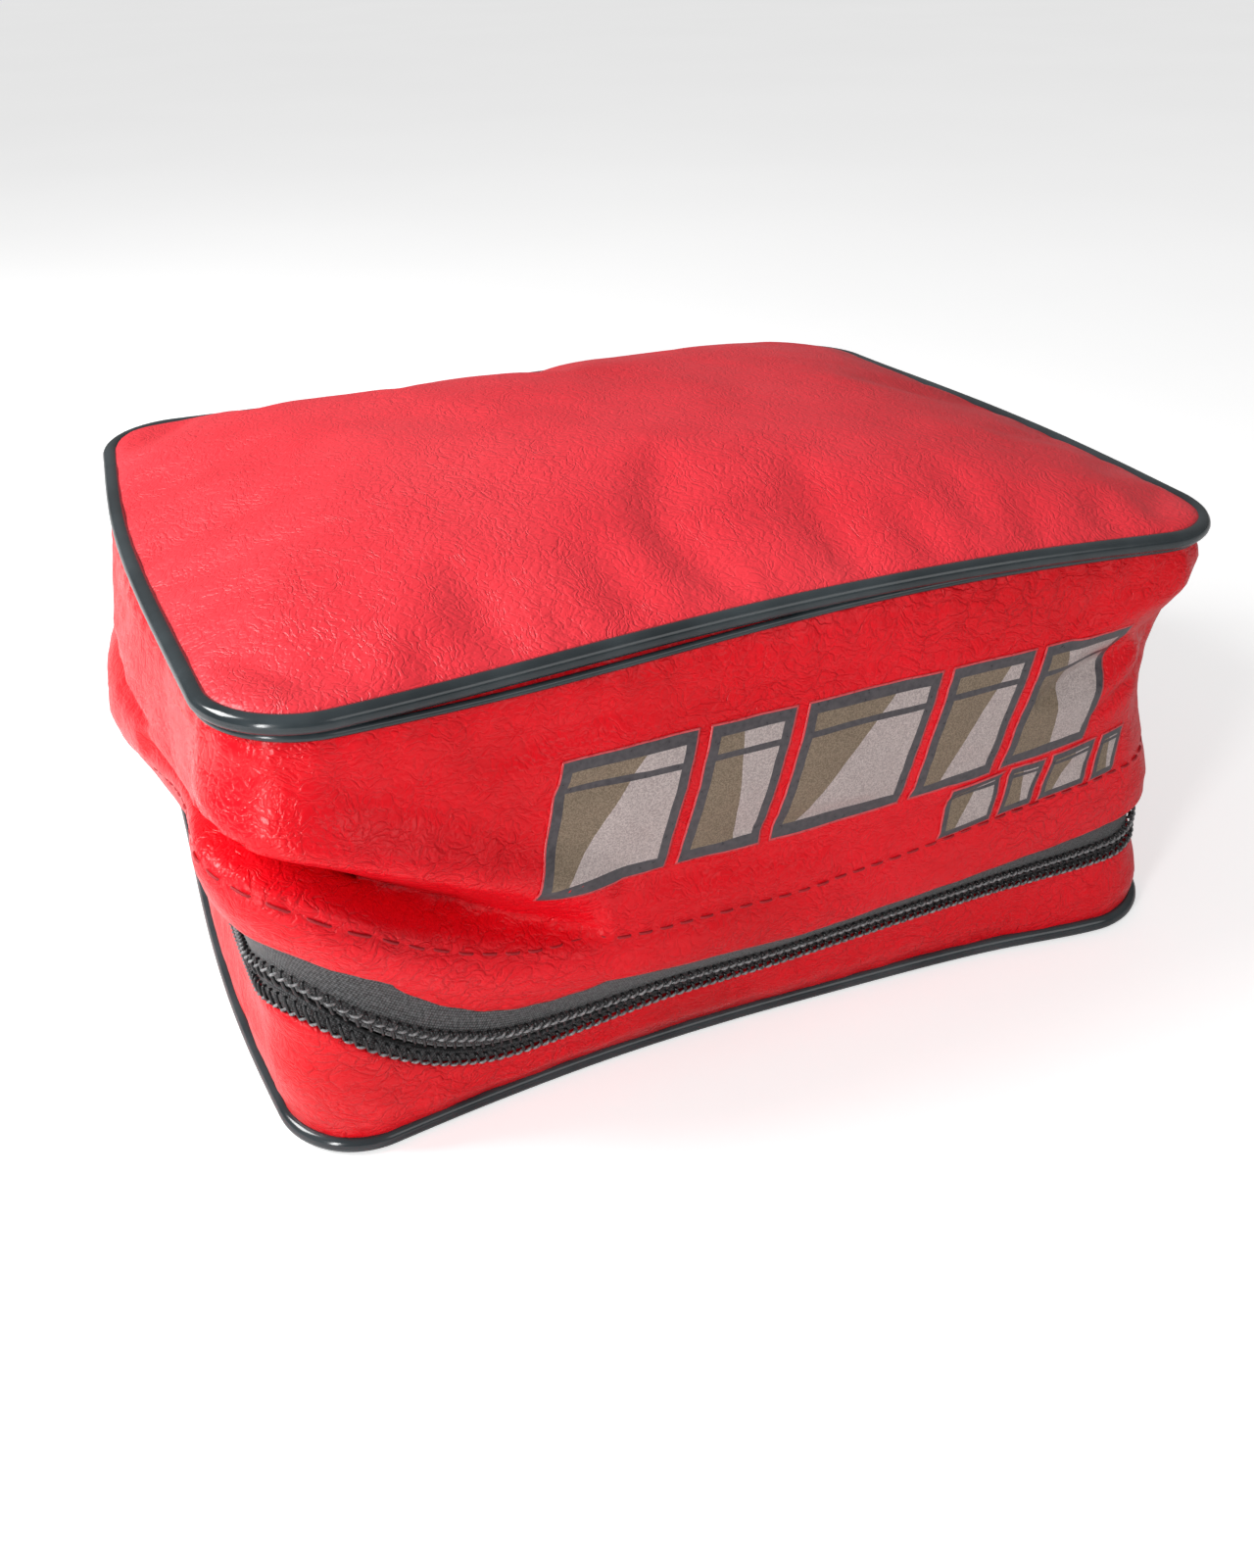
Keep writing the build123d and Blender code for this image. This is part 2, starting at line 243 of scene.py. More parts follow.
def ride_at(along, height):
    """Rise at a place, from the grid."""
    u = np.clip(along / ride_cell, 0, rides.shape[0] - 1.001)
    v = np.clip((height - ride_low) / ride_cell, 0, rides.shape[1] - 1.001)
    i, j = u.astype(int), v.astype(int)
    p, q = u - i, v - j
    low = rides[i, j] * (1 - q) + rides[i, j + 1] * q
    high = rides[i + 1, j] * (1 - q) + rides[i + 1, j + 1] * q
    return low * (1 - p) + high * p


def place(along, height, out):
    """Points in the row frame, in millimetres, of places on the soft walls."""
    along, height, out = np.broadcast_arrays(
        np.asarray(along, float), np.asarray(height, float), np.asarray(out, float)
    )
    push = sum(row[4] * bell(along - row[0], row[2]) * bell(height - row[1], row[3]) for row in PUSHES)
    push = push + sum(crease(along, height, row) for row in CREASES)
    lift = sum(row[4] * bell(along - row[0], row[2]) * bell(height - row[1], row[3]) for row in LIFTS)
    lift = lift + ride_at(along, height)
    grounded = np.clip(height / 12, 0, 1)
    turn = np.interp(along, marks, plan_turn)
    reach = corner + out + push
    x = np.interp(along, marks, plan_x) + reach * np.cos(turn)
    y = np.interp(along, marks, plan_y) + reach * np.sin(turn)
    return np.stack([x, y, height + lift * grounded], -1)


def outward(along):
    """Direction straight out of the wall, level with the floor."""
    turn = np.interp(along, marks, plan_turn)
    return np.stack([np.cos(turn), np.sin(turn), np.zeros_like(turn)], -1)


def rumple(points, cell, seed):
    """Smooth random value from -1 to 1 at each point."""
    flat = points.reshape(-1, 3) / cell + seed
    return np.array([noise.noise(p) for p in flat]).reshape(points.shape[:-1])


# ---- Meshes ----

def make_object(name, points, faces, materials, index=None, uv=None, smooth=True):
    mesh = bpy.data.meshes.new(name)
    mesh.from_pydata((np.asarray(points).reshape(-1, 3) * MM).tolist(), [], faces)
    for material in materials:
        mesh.materials.append(material)
    if index is not None:
        mesh.polygons.foreach_set("material_index", np.asarray(index, np.int32))
    mesh.polygons.foreach_set("use_smooth", np.full(len(mesh.polygons), smooth))
    if uv is not None:
        layer = mesh.uv_layers.new(name="wall")
        corners = np.empty(len(mesh.loops), np.int32)
        mesh.loops.foreach_get("vertex_index", corners)
        layer.data.foreach_set("uv", np.asarray(uv, np.float32)[corners].ravel())
    mesh.update()
    piece = bpy.data.objects.new(name, mesh)
    bpy.context.scene.collection.objects.link(piece)
    return piece


def grid_faces(rows, columns, start, flip, closed=False):
    """Quads of a grid whose first vertex has the number start."""
    faces = []
    for i in range(rows if closed else rows - 1):
        for j in range(columns - 1):
            a = start + i * columns + j
            b = start + ((i + 1) % rows) * columns + j
            quad = (a, b, b + 1, a + 1)
            faces.append(quad[::-1] if flip else quad)
    return faces


def thick_sheet(points, thickness):
    """Closed skin of a sheet, from the grid of its middle: vertices, faces, material numbers.

    The number is 1 on the inner side and 0 elsewhere.
    """
    rows, columns = points.shape[:2]
    normal = np.cross(np.gradient(points, axis=0), np.gradient(points, axis=1))
    normal /= np.linalg.norm(normal, axis=-1, keepdims=True) + 1e-9
    outer = points + normal * thickness / 2
    inner = points - normal * thickness / 2
    count = rows * columns
    faces = grid_faces(rows, columns, 0, False)
    index = [0] * len(faces)
    faces += grid_faces(rows, columns, count, True)
    index += [1] * (len(faces) - len(index))
    rim = [(i, 0) for i in range(rows)] + [(rows - 1, j) for j in range(1, columns)]
    rim += [(i, columns - 1) for i in range(rows - 2, -1, -1)] + [(0, j) for j in range(columns - 2, 0, -1)]
    for (i, j), (k, m) in zip(rim, rim[1:] + rim[:1]):
        a, b = i * columns + j, k * columns + m
        faces.append((b, a, a + count, b + count))
    index += [0] * (len(faces) - len(index))
    return np.concatenate([outer.reshape(-1, 3), inner.reshape(-1, 3)]), faces, index


def tubes(paths, radii, reference, sides=8, closed=False):
    """Round tubes along paths (number, points, 3), with a radius for each point."""
    count, length = paths.shape[:2]
    if closed:
        tangent = np.roll(paths, -1, 1) - np.roll(paths, 1, 1)
    else:
        tangent = np.gradient(paths, axis=1)
    tangent /= np.linalg.norm(tangent, axis=-1, keepdims=True) + 1e-9
    side = np.cross(tangent, reference)
    side /= np.linalg.norm(side, axis=-1, keepdims=True) + 1e-9
    up = np.cross(side, tangent)
    angle = np.arange(sides) * 2 * math.pi / sides
    circle = side[:, :, None] * np.cos(angle)[:, None] + up[:, :, None] * np.sin(angle)[:, None]
    points = paths[:, :, None] + circle * np.broadcast_to(radii, (count, length))[:, :, None, None]
    faces = []
    for n in range(count):
        start = n * length * sides
        for i in range(length if closed else length - 1):
            for k in range(sides):
                a = start + i * sides + k
                b = start + i * sides + (k + 1) % sides
                step = ((i + 1) % length - i) * sides
                faces.append((a, b, b + step, a + step))
        if not closed:
            faces.append(tuple(start + k for k in range(sides))[::-1])
            faces.append(tuple(start + (length - 1) * sides + k for k in range(sides)))
    return points.reshape(-1, 3), faces


def wall_sheet(name, profile, thickness, span, materials, texture=None):
    """Sheet round the walls: profile is (height, out) points down its middle, span where it runs."""
    steps = max(2, int((span[1] - span[0]) / grid_step))
    along = np.linspace(span[0], span[1], steps)
    profile = np.array(profile, float)[::-1]
    spacing = np.concatenate([[0], np.cumsum(np.linalg.norm(np.diff(profile, axis=0), axis=1))])
    points = place(along[:, None], profile[None, :, 0], profile[None, :, 1])
    if texture is not None:
        uneven = texture(along[:, None], profile[None, :, 0], points)
        points = points + outward(along)[:, None] * uneven[..., None]
    skin, faces, index = thick_sheet(points, thickness)
    flat = np.stack(np.meshgrid(along, spacing, indexing="ij"), -1).reshape(-1, 2) * MM
    return make_object(name, skin, faces, materials, index, np.concatenate([flat, flat]))


def fine_line(points, step=grid_step):
    """A line through points with about step between neighbours."""
    points = np.array(points, float)
    travelled = np.concatenate([[0], np.cumsum(np.linalg.norm(np.diff(points, axis=0), axis=1))])
    stations = np.linspace(0, travelled[-1], max(2, int(travelled[-1] / step) + 1))
    return np.stack([np.interp(stations, travelled, points[:, k]) for k in range(points.shape[1])], 1)


# ---- Materials ----

def new_material(name):
    material = bpy.data.materials.new(name)
    material.use_nodes = True
    nodes, links = material.node_tree.nodes, material.node_tree.links
    return material, nodes, links, nodes["Principled BSDF"]


def add_node(nodes, links, kind, inputs=None, **settings):
    """A node with its settings, and its inputs given as values or as the sockets that feed them."""
    node = nodes.new(kind)
    for key, value in settings.items():
        setattr(node, key, value)
    for key, value in (inputs or {}).items():
        if isinstance(value, bpy.types.NodeSocket):
            links.new(value, node.inputs[key])
        else:
            node.inputs[key].default_value = value
    return node


def ramp(nodes, links, source, stops):
    """Colour ramp with stops as (place, grey or colour)."""
    node = add_node(nodes, links, "ShaderNodeValToRGB", {"Fac": source})
    while len(node.color_ramp.elements) < len(stops):
        node.color_ramp.elements.new(0.5)
    for element, (where, colour) in zip(node.color_ramp.elements, stops):
        element.position = where
        element.color = (*colour, 1) if isinstance(colour, tuple) else (colour, colour, colour, 1)
    return node.outputs["Color"]


def math_node(nodes, links, operation, first, second):
    return add_node(nodes, links, "ShaderNodeMath", {0: first, 1: second}, operation=operation).outputs[0]


def vinyl_material(name, base, deep, pale, roughness, specular, crackle_and_crease_shade, stretch):
    """Coated fabric: pebbled grain, wandering wrinkles drawn out sideways with painted shade in their
    grooves, uneven gloss.
    """
    material, nodes, links, shader = new_material(name)
    where = add_node(nodes, links, "ShaderNodeTexCoord").outputs["Object"]
    wander = add_node(nodes, links, "ShaderNodeTexNoise", {"Vector": where, "Scale": 110.0, "Detail": 4.0})
    bent = add_node(
        nodes, links, "ShaderNodeVectorMath", {0: wander.outputs["Color"], "Scale": 0.013}, operation="SCALE"
    )
    crooked = add_node(
        nodes, links, "ShaderNodeVectorMath", {0: where, 1: bent.outputs[0]}, operation="ADD"
    ).outputs[0]
    drawn = add_node(nodes, links, "ShaderNodeMapping", {"Vector": crooked, "Scale": stretch}).outputs[0]
    pebbles = add_node(
        nodes, links, "ShaderNodeTexVoronoi", {"Vector": crooked, "Scale": 760.0}, feature="SMOOTH_F1"
    ).outputs["Distance"]
    wrinkles = add_node(
        nodes, links, "ShaderNodeTexVoronoi", {"Vector": drawn, "Scale": 210.0}, feature="DISTANCE_TO_EDGE"
    ).outputs["Distance"]
    wrinkle_height = ramp(nodes, links, wrinkles, [(0.0, 0.0), (0.12, 0.8), (0.5, 1.0)])
    fine = add_node(
        nodes, links, "ShaderNodeTexVoronoi", {"Vector": drawn, "Scale": 380.0}, feature="DISTANCE_TO_EDGE"
    ).outputs["Distance"]
    fine_height = ramp(nodes, links, fine, [(0.0, 0.0), (0.2, 1.0)])
    patches = add_node(nodes, links, "ShaderNodeTexNoise", {"Vector": drawn, "Scale": 24.0, "Detail": 4.0})
    patchy = ramp(nodes, links, patches.outputs["Fac"], [(0.4, 0.0), (0.6, 1.0)])
    creased = math_node(nodes, links, "MULTIPLY", wrinkle_height, crackle_and_crease_shade)
    height = math_node(nodes, links, "MULTIPLY", creased, patchy)
    height = math_node(nodes, links, "ADD", height, math_node(nodes, links, "MULTIPLY", fine_height, 0.28))
    height = math_node(nodes, links, "ADD", height, math_node(nodes, links, "MULTIPLY", pebbles, -0.35))
    bump = add_node(
        nodes, links, "ShaderNodeBump", {"Height": height, "Strength": 0.75, "Distance": 0.0005}
    )
    tone = add_node(nodes, links, "ShaderNodeTexNoise", {"Vector": where, "Scale": 14.0, "Detail": 5.0})
    colour = ramp(nodes, links, tone.outputs["Fac"], [(0.3, deep), (0.5, base), (0.72, pale)])
    # Painted shade: in patches, the colour darkens to 0.72 along the wrinkles' grooves, where shade would
    # fall
    line = ramp(nodes, links, wrinkles, [(0.0, 0.72), (0.05, 1.0)])
    lines = add_node(
        nodes, links, "ShaderNodeMix", {0: patchy, 6: (1, 1, 1, 1), 7: line}, data_type="RGBA"
    ).outputs[2]
    shaded = add_node(
        nodes, links, "ShaderNodeMix", {0: crackle_and_crease_shade, 6: colour, 7: lines},
        data_type="RGBA", blend_type="MULTIPLY",
    ).outputs[2]
    gloss = ramp(nodes, links, patches.outputs["Fac"], [(0.3, roughness - 0.08), (0.7, roughness + 0.1)])
    links.new(shaded, shader.inputs["Base Color"])
    links.new(gloss, shader.inputs["Roughness"])
    links.new(bump.outputs[0], shader.inputs["Normal"])
    shader.inputs["Specular IOR Level"].default_value = specular
    shader.inputs["Coat Weight"].default_value = 0.06
    shader.inputs["Coat Roughness"].default_value = 0.22
    return material


def plain_material(name, low, high, scale, roughness, spread, bump_depth, metallic=0.0, stretch=(1, 1, 1)):
    """Even material with a fine random grain in its colour, gloss and surface."""
    material, nodes, links, shader = new_material(name)
    where = add_node(nodes, links, "ShaderNodeTexCoord").outputs["Object"]
    scaled = add_node(nodes, links, "ShaderNodeMapping", {"Vector": where, "Scale": stretch}).outputs[0]
    grain = add_node(
        nodes, links, "ShaderNodeTexNoise", {"Vector": scaled, "Scale": scale, "Detail": 4.0}
    ).outputs["Fac"]
    links.new(ramp(nodes, links, grain, [(0.35, low), (0.65, high)]), shader.inputs["Base Color"])
    gloss = ramp(nodes, links, grain, [(0.3, roughness - spread), (0.7, roughness + spread)])
    links.new(gloss, shader.inputs["Roughness"])
    bump = add_node(
        nodes, links, "ShaderNodeBump", {"Height": grain, "Strength": 0.5, "Distance": bump_depth}
    )
    links.new(bump.outputs[0], shader.inputs["Normal"])
    shader.inputs["Metallic"].default_value = metallic
    return material


def weave_material(name, low, high, thread_width):
    """Twill tape: slanted ribs across the strip, from its own coordinates along and across."""
    material, nodes, links, shader = new_material(name)
    band_scale = 314.0 / thread_width     # the wave texture's bands lie 314 mm over its scale apart
    where = add_node(nodes, links, "ShaderNodeUVMap", uv_map="wall").outputs[0]
    turned = add_node(
        nodes, links, "ShaderNodeMapping", {"Vector": where, "Rotation": (0, 0, math.radians(35))}
    ).outputs[0]
    ribs = add_node(
        nodes, links, "ShaderNodeTexWave", {"Vector": turned, "Scale": band_scale, "Distortion": 0.6}
    ).outputs["Fac"]
    cross = add_node(
        nodes, links, "ShaderNodeTexWave", {"Vector": where, "Scale": band_scale, "Distortion": 0.8},
        bands_direction="Y",
    ).outputs["Fac"]
    fuzz = add_node(nodes, links, "ShaderNodeTexNoise", {"Vector": where, "Scale": 1500.0, "Detail": 2.0})
    woven = math_node(nodes, links, "MULTIPLY", math_node(nodes, links, "MULTIPLY", ribs, cross), 0.45)
    height = math_node(nodes, links, "ADD", woven, fuzz.outputs["Fac"])
    links.new(ramp(nodes, links, height, [(0.45, low), (0.95, high)]), shader.inputs["Base Color"])
    bump = add_node(nodes, links, "ShaderNodeBump", {"Height": height, "Strength": 0.9, "Distance": 0.00025})
    links.new(bump.outputs[0], shader.inputs["Normal"])
    shader.inputs["Roughness"].default_value = 0.85
    shader.inputs["Sheen Weight"].default_value = 0.25
    return material


def flake_material(name, dark, light, metallic, roughness):
    """Print with metal flakes that each catch the light differently."""
    material, nodes, links, shader = new_material(name)
    where = add_node(nodes, links, "ShaderNodeTexCoord").outputs["Object"]
    flakes = add_node(nodes, links, "ShaderNodeTexVoronoi", {"Vector": where, "Scale": 4200.0})
    value = add_node(nodes, links, "ShaderNodeSeparateColor", {0: flakes.outputs["Color"]}).outputs[0]
    links.new(ramp(nodes, links, value, [(0.1, dark), (0.9, light)]), shader.inputs["Base Color"])
    bump = add_node(nodes, links, "ShaderNodeBump", {"Height": value, "Strength": 0.5, "Distance": 0.0001})
    links.new(bump.outputs[0], shader.inputs["Normal"])
    shader.inputs["Metallic"].default_value = metallic
    shader.inputs["Roughness"].default_value = roughness
    return material


# Painted light and shade: top and walls are one red vinyl, coloured lighter on the top, which takes more
# light, and darker on the walls, which take less
top_vinyl_painted_light = vinyl_material(
    "top_vinyl_painted_light", (0.90, 0.030, 0.048), (0.78, 0.016, 0.030), (0.94, 0.048, 0.066),
    0.48, 0.5, 0.35, (1.6, 1.0, 1.0),
)
wall_vinyl_painted_shade = vinyl_material(
    "wall_vinyl_painted_shade", (0.80, 0.003, 0.011), (0.60, 0.0015, 0.006), (0.87, 0.006, 0.017),
    0.31, 0.24, 0.6, (0.8, 0.8, 1.9),
)
backing = plain_material("knit_backing", (0.30, 0.29, 0.28), (0.46, 0.45, 0.43), 1800.0, 0.9, 0.05, 0.0002)
piping_pvc = plain_material(
    "piping_pvc", (0.020, 0.027, 0.031), (0.040, 0.052, 0.058),
    60.0, 0.17, 0.06, 0.00004
)
tape_weave = weave_material("tape_weave", (0.004, 0.004, 0.005), (0.13, 0.135, 0.14), 0.45)
coil_nylon = plain_material(
    "coil_nylon", (0.006, 0.006, 0.007), (0.02, 0.021, 0.023),
    500.0, 0.3, 0.08, 0.00003
)
coil_thread = plain_material(
    "coil_thread", (0.06, 0.062, 0.065), (0.34, 0.345, 0.35),
    1500.0, 0.5, 0.1, 0.00006
)
red_thread = plain_material(
    "red_thread", (0.33, 0.004, 0.010), (0.46, 0.008, 0.016),
    2500.0, 0.6, 0.1, 0.00008
)
enamel = plain_material(
    "black_enamel", (0.012, 0.012, 0.013), (0.03, 0.03, 0.032),
    300.0, 0.28, 0.08, 0.00003
)
print_outline = plain_material(
    "print_outline", (0.055, 0.048, 0.055), (0.085, 0.075, 0.082),
    900.0, 0.35, 0.08, 0.00004
)
silver_flake = flake_material("silver_flake", (0.40, 0.33, 0.32), (0.62, 0.53, 0.51), 0.35, 0.42)
bronze_flake = flake_material("bronze_flake", (0.19, 0.14, 0.095), (0.31, 0.235, 0.165), 0.35, 0.42)
clear_film = plain_material("clear_film", (0.62, 0.04, 0.05), (0.70, 0.08, 0.09), 700.0, 0.3, 0.05, 0.00003)


def finish_piece(piece, body, slot, *nodes):
    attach(piece, body)
    if nodes:
        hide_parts(*nodes)
    return piece


# ---- Walls ----

def handled(along, height, points):
    """Small unevenness of a vinyl wall, with puckers where the piping's seam gathers it."""
    wide = points * np.array([1, 1, 2.2])
    waves = 0.5 * rumple(points, 17.0, 3.1) + 0.34 * rumple(wide, 9.0, 8.7)
    lines = 0.22 * np.abs(rumple(wide, 6.0, 12.2))
    gather = 0.5 * (1 + rumple(points * np.array([1, 1, 0]), 30.0, 1.3))
    pucker = 0.4 * gather * np.sin(along * 2 * math.pi / 8.5 + 3 * rumple(points, 60.0, 5.0))
    stitch_groove = -0.6 * bell(height - stitch_height, 0.8)
    top_roll = -0.9 * bell(height - lid_wall_top, 1.6) + 0.5 * bell(height - lid_wall_top + 5, 2.5)
    return waves - lines + pucker * bell(height - lid_wall_top, 7.0) + stitch_groove + top_roll


def base_handled(along, height, points):
    return 0.5 * rumple(points, 14.0, 4.4) + 0.3 * rumple(points * np.array([1, 1, 2.0]), 6.0, 2.2)


lid_mid = lid_out - vinyl / 2
fold_radius = 0.62
turned_out = lid_mid - 2 * fold_radius
fold_arc = [
    (hem_height + fold_radius - fold_radius * math.sin(a), lid_mid - fold_radius + fold_radius * math.cos(a))
    for a in np.linspace(0, math.pi, 7)
]
lid_profile = np.concatenate([
    fine_line([(lid_wall_top + 1.2, lid_mid), (hem_height + fold_radius + 0.4, lid_mid)]),
    fold_arc,
    fine_line([(hem_height + 3, turned_out), (hem_height + hem_turn, turned_out)]),
])
upper_wall = wall_sheet(
    "upper_wall_vinyl", lid_profile, vinyl, (wall_start, wall_end), [wall_vinyl_painted_shade, backing], handled
)
finish_piece(upper_wall, "lid", "vinyl_wall", "upper_wall")

# Edge of the turned-under layer, which slips out below the hem near the front left corner
tongue_steps = 34
tongue_along = np.linspace(front(-92), front(-44), tongue_steps)
tongue_share = np.linspace(0, 1, 8)
tongue_drop = 3.6 * np.sqrt(np.sin(np.linspace(0, math.pi, tongue_steps))) + 0.1 * np.sin(tongue_along * 0.8)
tongue_points = place(
    tongue_along[:, None], hem_height + 1.5 - (1.5 + tongue_drop[:, None]) * (1 - tongue_share), -0.68
)
skin, faces, index = thick_sheet(tongue_points, 1.1)
tongue = make_object("hem_tongue_vinyl", skin, faces, [wall_vinyl_painted_shade, backing], index)
finish_piece(tongue, "lid", "vinyl_wall")

base_mid = -vinyl / 2
base_profile = np.concatenate([
    fine_line([(base_wall_top + 0.1, base_mid - 1.0), (base_wall_top + 0.1, base_mid - 0.3)], 0.5),
    fine_line([(base_wall_top - 0.5, base_mid), (base_wall_bottom - 1.2, base_mid)]),
])
lower_wall = wall_sheet(
    "lower_wall_vinyl", base_profile, vinyl, (wall_start, wall_end), [wall_vinyl_painted_shade, backing], base_handled
)
finish_piece(lower_wall, "base", "vinyl_wall", "lower_wall")


def back_points():
    across = np.linspace(straight_x, -straight_x, 90)
    height = fine_line([(lid_wall_top + 1.2, 0), (base_wall_bottom - 1.2, 0)])[:, 0]
    shift = 0.5 + 0.5 * np.tanh((height - zip_height) / 4)
    out = base_mid + shift * (lid_mid - base_mid)
    along = np.where(across <= 0, -across, around - across)
    points = place(along[:, None], height[None, :], out[None, :])
    wave = 0.6 * rumple(points, 20.0, 6.6) * bell(across[:, None], straight_x * 0.6)
    return points + np.array([0.0, 1.0, 0.0]) * wave[..., None], across, height


back_grid, back_across, back_height = back_points()
skin, faces, index = thick_sheet(back_grid[::-1], vinyl)
back_flat = np.stack(np.meshgrid(back_across[::-1], back_height, indexing="ij"), -1).reshape(-1, 2) * MM
back_wall = make_object(
    "back_wall_vinyl", skin, faces, [wall_vinyl_painted_shade, backing], index, np.concatenate([back_flat, back_flat])
)
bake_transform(back_wall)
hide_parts("back_wall_lower", "back_wall_upper")

# ---- Panels ----

def panel_grid(out, step):
    """Grid over the case's plan at an offset, its corner squares rounded off: points (rows, columns, 2)."""
    reach_x, reach_y = half_length + out, half_width + out
    x = np.linspace(-reach_x, reach_x, int(2 * reach_x / step))
    y = np.linspace(-reach_y, reach_y, int(2 * reach_y / step))
    points = np.stack(np.meshgrid(x, y, indexing="ij"), -1)
    centre = np.array([straight_x, straight_y])
    past = np.abs(points) - centre
    in_corner = (past > 0).all(-1)
    largest = past.max(-1, keepdims=True)
    length = np.linalg.norm(past, axis=-1, keepdims=True) + 1e-9
    rounded = np.sign(points) * (centre + past / length * largest)
    return np.where(in_corner[..., None], rounded, points)


def nearest_on_wall(points, out):
    """Distance along the wall of the nearest place to each plan point, and how far off it is."""
    along = np.linspace(0, around, 800, endpoint=False)
    turn = np.interp(along, marks, plan_turn)
    ring_x = np.interp(along, marks, plan_x) + (corner + out) * np.cos(turn)
    ring_y = np.interp(along, marks, plan_y) + (corner + out) * np.sin(turn)
    flat = points.reshape(-1, 2)
    square = (flat[:, 0:1] - ring_x) ** 2 + (flat[:, 1:2] - ring_y) ** 2
    pick = square.argmin(1)
    shape = points.shape[:2]
    return along[pick].reshape(shape), np.sqrt(square[np.arange(len(flat)), pick]).reshape(shape)


def seated_panel(out, height, step, reach):
    """Panel grid at a height whose edge follows the deformed wall."""
    flat = panel_grid(out, step)
    along, off = nearest_on_wall(flat, out)
    plain = np.concatenate([flat, np.full((*flat.shape[:2], 1), height)], -1)
    turn = np.interp(along, marks, plan_turn)
    nominal_x = np.interp(along, marks, plan_x) + (corner + out) * np.cos(turn)
    nominal_y = np.interp(along, marks, plan_y) + (corner + out) * np.sin(turn)
    nominal = np.stack([nominal_x, nominal_y, np.full_like(nominal_x, height)], -1)
    moved = place(along, height, out) - nominal
    return plain + moved * np.exp(-off / reach)[..., None], off, flat


def inflate(points, pressure, frames):
    """Cloth simulation of a sheet held along its edge and blown up from below: the settled grid."""
    rows, columns = points.shape[:2]
    sheet = make_object("inflating", points, grid_faces(rows, columns, 0, False), [])
    held = sheet.vertex_groups.new(name="held")
    grid = np.arange(rows * columns).reshape(rows, columns)
    edge = np.concatenate([grid[0], grid[-1], grid[1:-1, 0], grid[1:-1, -1]])
    held.add([int(v) for v in edge], 1.0, "REPLACE")
    cloth = sheet.modifiers.new("cloth", "CLOTH")
    cloth.settings.quality = 6
    cloth.settings.mass = 0.35
    cloth.settings.tension_stiffness = 30
    cloth.settings.compression_stiffness = 30
    cloth.settings.shear_stiffness = 12
    cloth.settings.bending_stiffness = 6.0
    cloth.settings.air_damping = 3.0
    cloth.settings.shrink_min = -0.008
    cloth.settings.vertex_group_mass = "held"
    cloth.settings.use_pressure = True
    cloth.settings.uniform_pressure_force = pressure
    cloth.settings.effector_weights.gravity = 0.0
    cloth.collision_settings.use_collision = False
    scene = bpy.context.scene
    cloth.point_cache.frame_end = frames
    for step in range(1, frames + 1):
        scene.frame_set(step)
    evaluated = sheet.evaluated_get(bpy.context.evaluated_depsgraph_get())
    settled = np.empty(rows * columns * 3, np.float32)
    evaluated.data.vertices.foreach_get("co", settled)
    bpy.data.objects.remove(sheet)
    scene.frame_set(1)
    return settled.reshape(rows, columns, 3).astype(float) / MM


panel_out = -1.6
crown = crown_top - ring_height + 5.5
dome_power = 3.5
top_edge_out = 0.9
top_points, top_off, top_flat = seated_panel(top_edge_out, ring_height + 0.3, 3.0, 30.0)
span_x, span_y = half_length + top_edge_out, half_width + top_edge_out
dome = (1 - np.clip(np.abs(top_flat[..., 0]) / span_x, 0, 1) ** dome_power)
dome = dome * (1 - np.clip(np.abs(top_flat[..., 1]) / span_y, 0, 1) ** dome_power)
top_points[..., 2] += crown * dome ** 0.75
plain = top_points.copy()
top_points = inflate(plain, 5.0, 20)
cap = 9.0     # farthest that the simulation may carry a point
change = top_points - plain
length = np.linalg.norm(change, axis=-1, keepdims=True) + 1e-9
top_points = plain + change / length * np.minimum(length, cap)
dimples = 0.5 * rumple(top_points, 22.0, 9.4) + 0.25 * rumple(top_points, 9.0, 7.7)
top_points[..., 2] += dimples * np.clip(top_off / 8, 0, 1)
skin, faces, index = thick_sheet(top_points, vinyl)
top_panel = make_object("top_panel_vinyl", skin, faces, [top_vinyl_painted_light, backing], index)
smoother = top_panel.modifiers.new("finer", "SUBSURF")
smoother.levels = 1
smoother.render_levels = 1
finish_piece(top_panel, "lid", "vinyl_top", "top_panel")

bottom_points = seated_panel(panel_out + 0.6, vinyl / 2, 4.0, 14.0)[0]
skin, faces, index = thick_sheet(bottom_points[::-1], vinyl)
bottom_panel = make_object("bottom_panel_vinyl", skin, faces, [wall_vinyl_painted_shade, backing], index)
finish_piece(bottom_panel, "base", "vinyl_wall", "bottom_panel")

# ---- Piping: round beads, and under the top one the edge of its flange ----

ring_along = np.linspace(0, around, 720, endpoint=False)


def ring_tube(name, height, out, radius, body, materials, sides, *nodes):
    path = place(ring_along, height, out)[None]
    uneven = radius * (1 + 0.03 * rumple(path, 25.0, 2.9))
    points, faces = tubes(path, uneven, outward(ring_along)[None], sides, closed=True)
    piece = make_object(name, points, faces, materials)
    return finish_piece(piece, body, "piping", *nodes)


bare = bell(ring_along - front(-48), 42)     # where the flange's edge shows most
ring_tube("top_piping_bead", ring_height, top_bead_out, bead, "lid", [piping_pvc], 16, "top_piping")
ring_tube(
    "top_piping_lip", lid_wall_top + 0.2 - 1.3 * bare, lid_out + 0.1 + 0.9 * bare, 0.85, "lid",
    [piping_pvc], 10,
)
ring_tube("bottom_piping_bead", bead, bottom_bead_out, bead, "base", [piping_pvc], 16, "bottom_piping")

# ---- Zip ----

def flare(height):
    """How far the upper tape stands out on its way from the hem down to the chain."""
    share = np.clip((np.asarray(height) - chain_high) / (upper_tape_top - chain_high), 0, 1)
    return tape_mid_out + 0.2 * np.sin(share * math.pi)


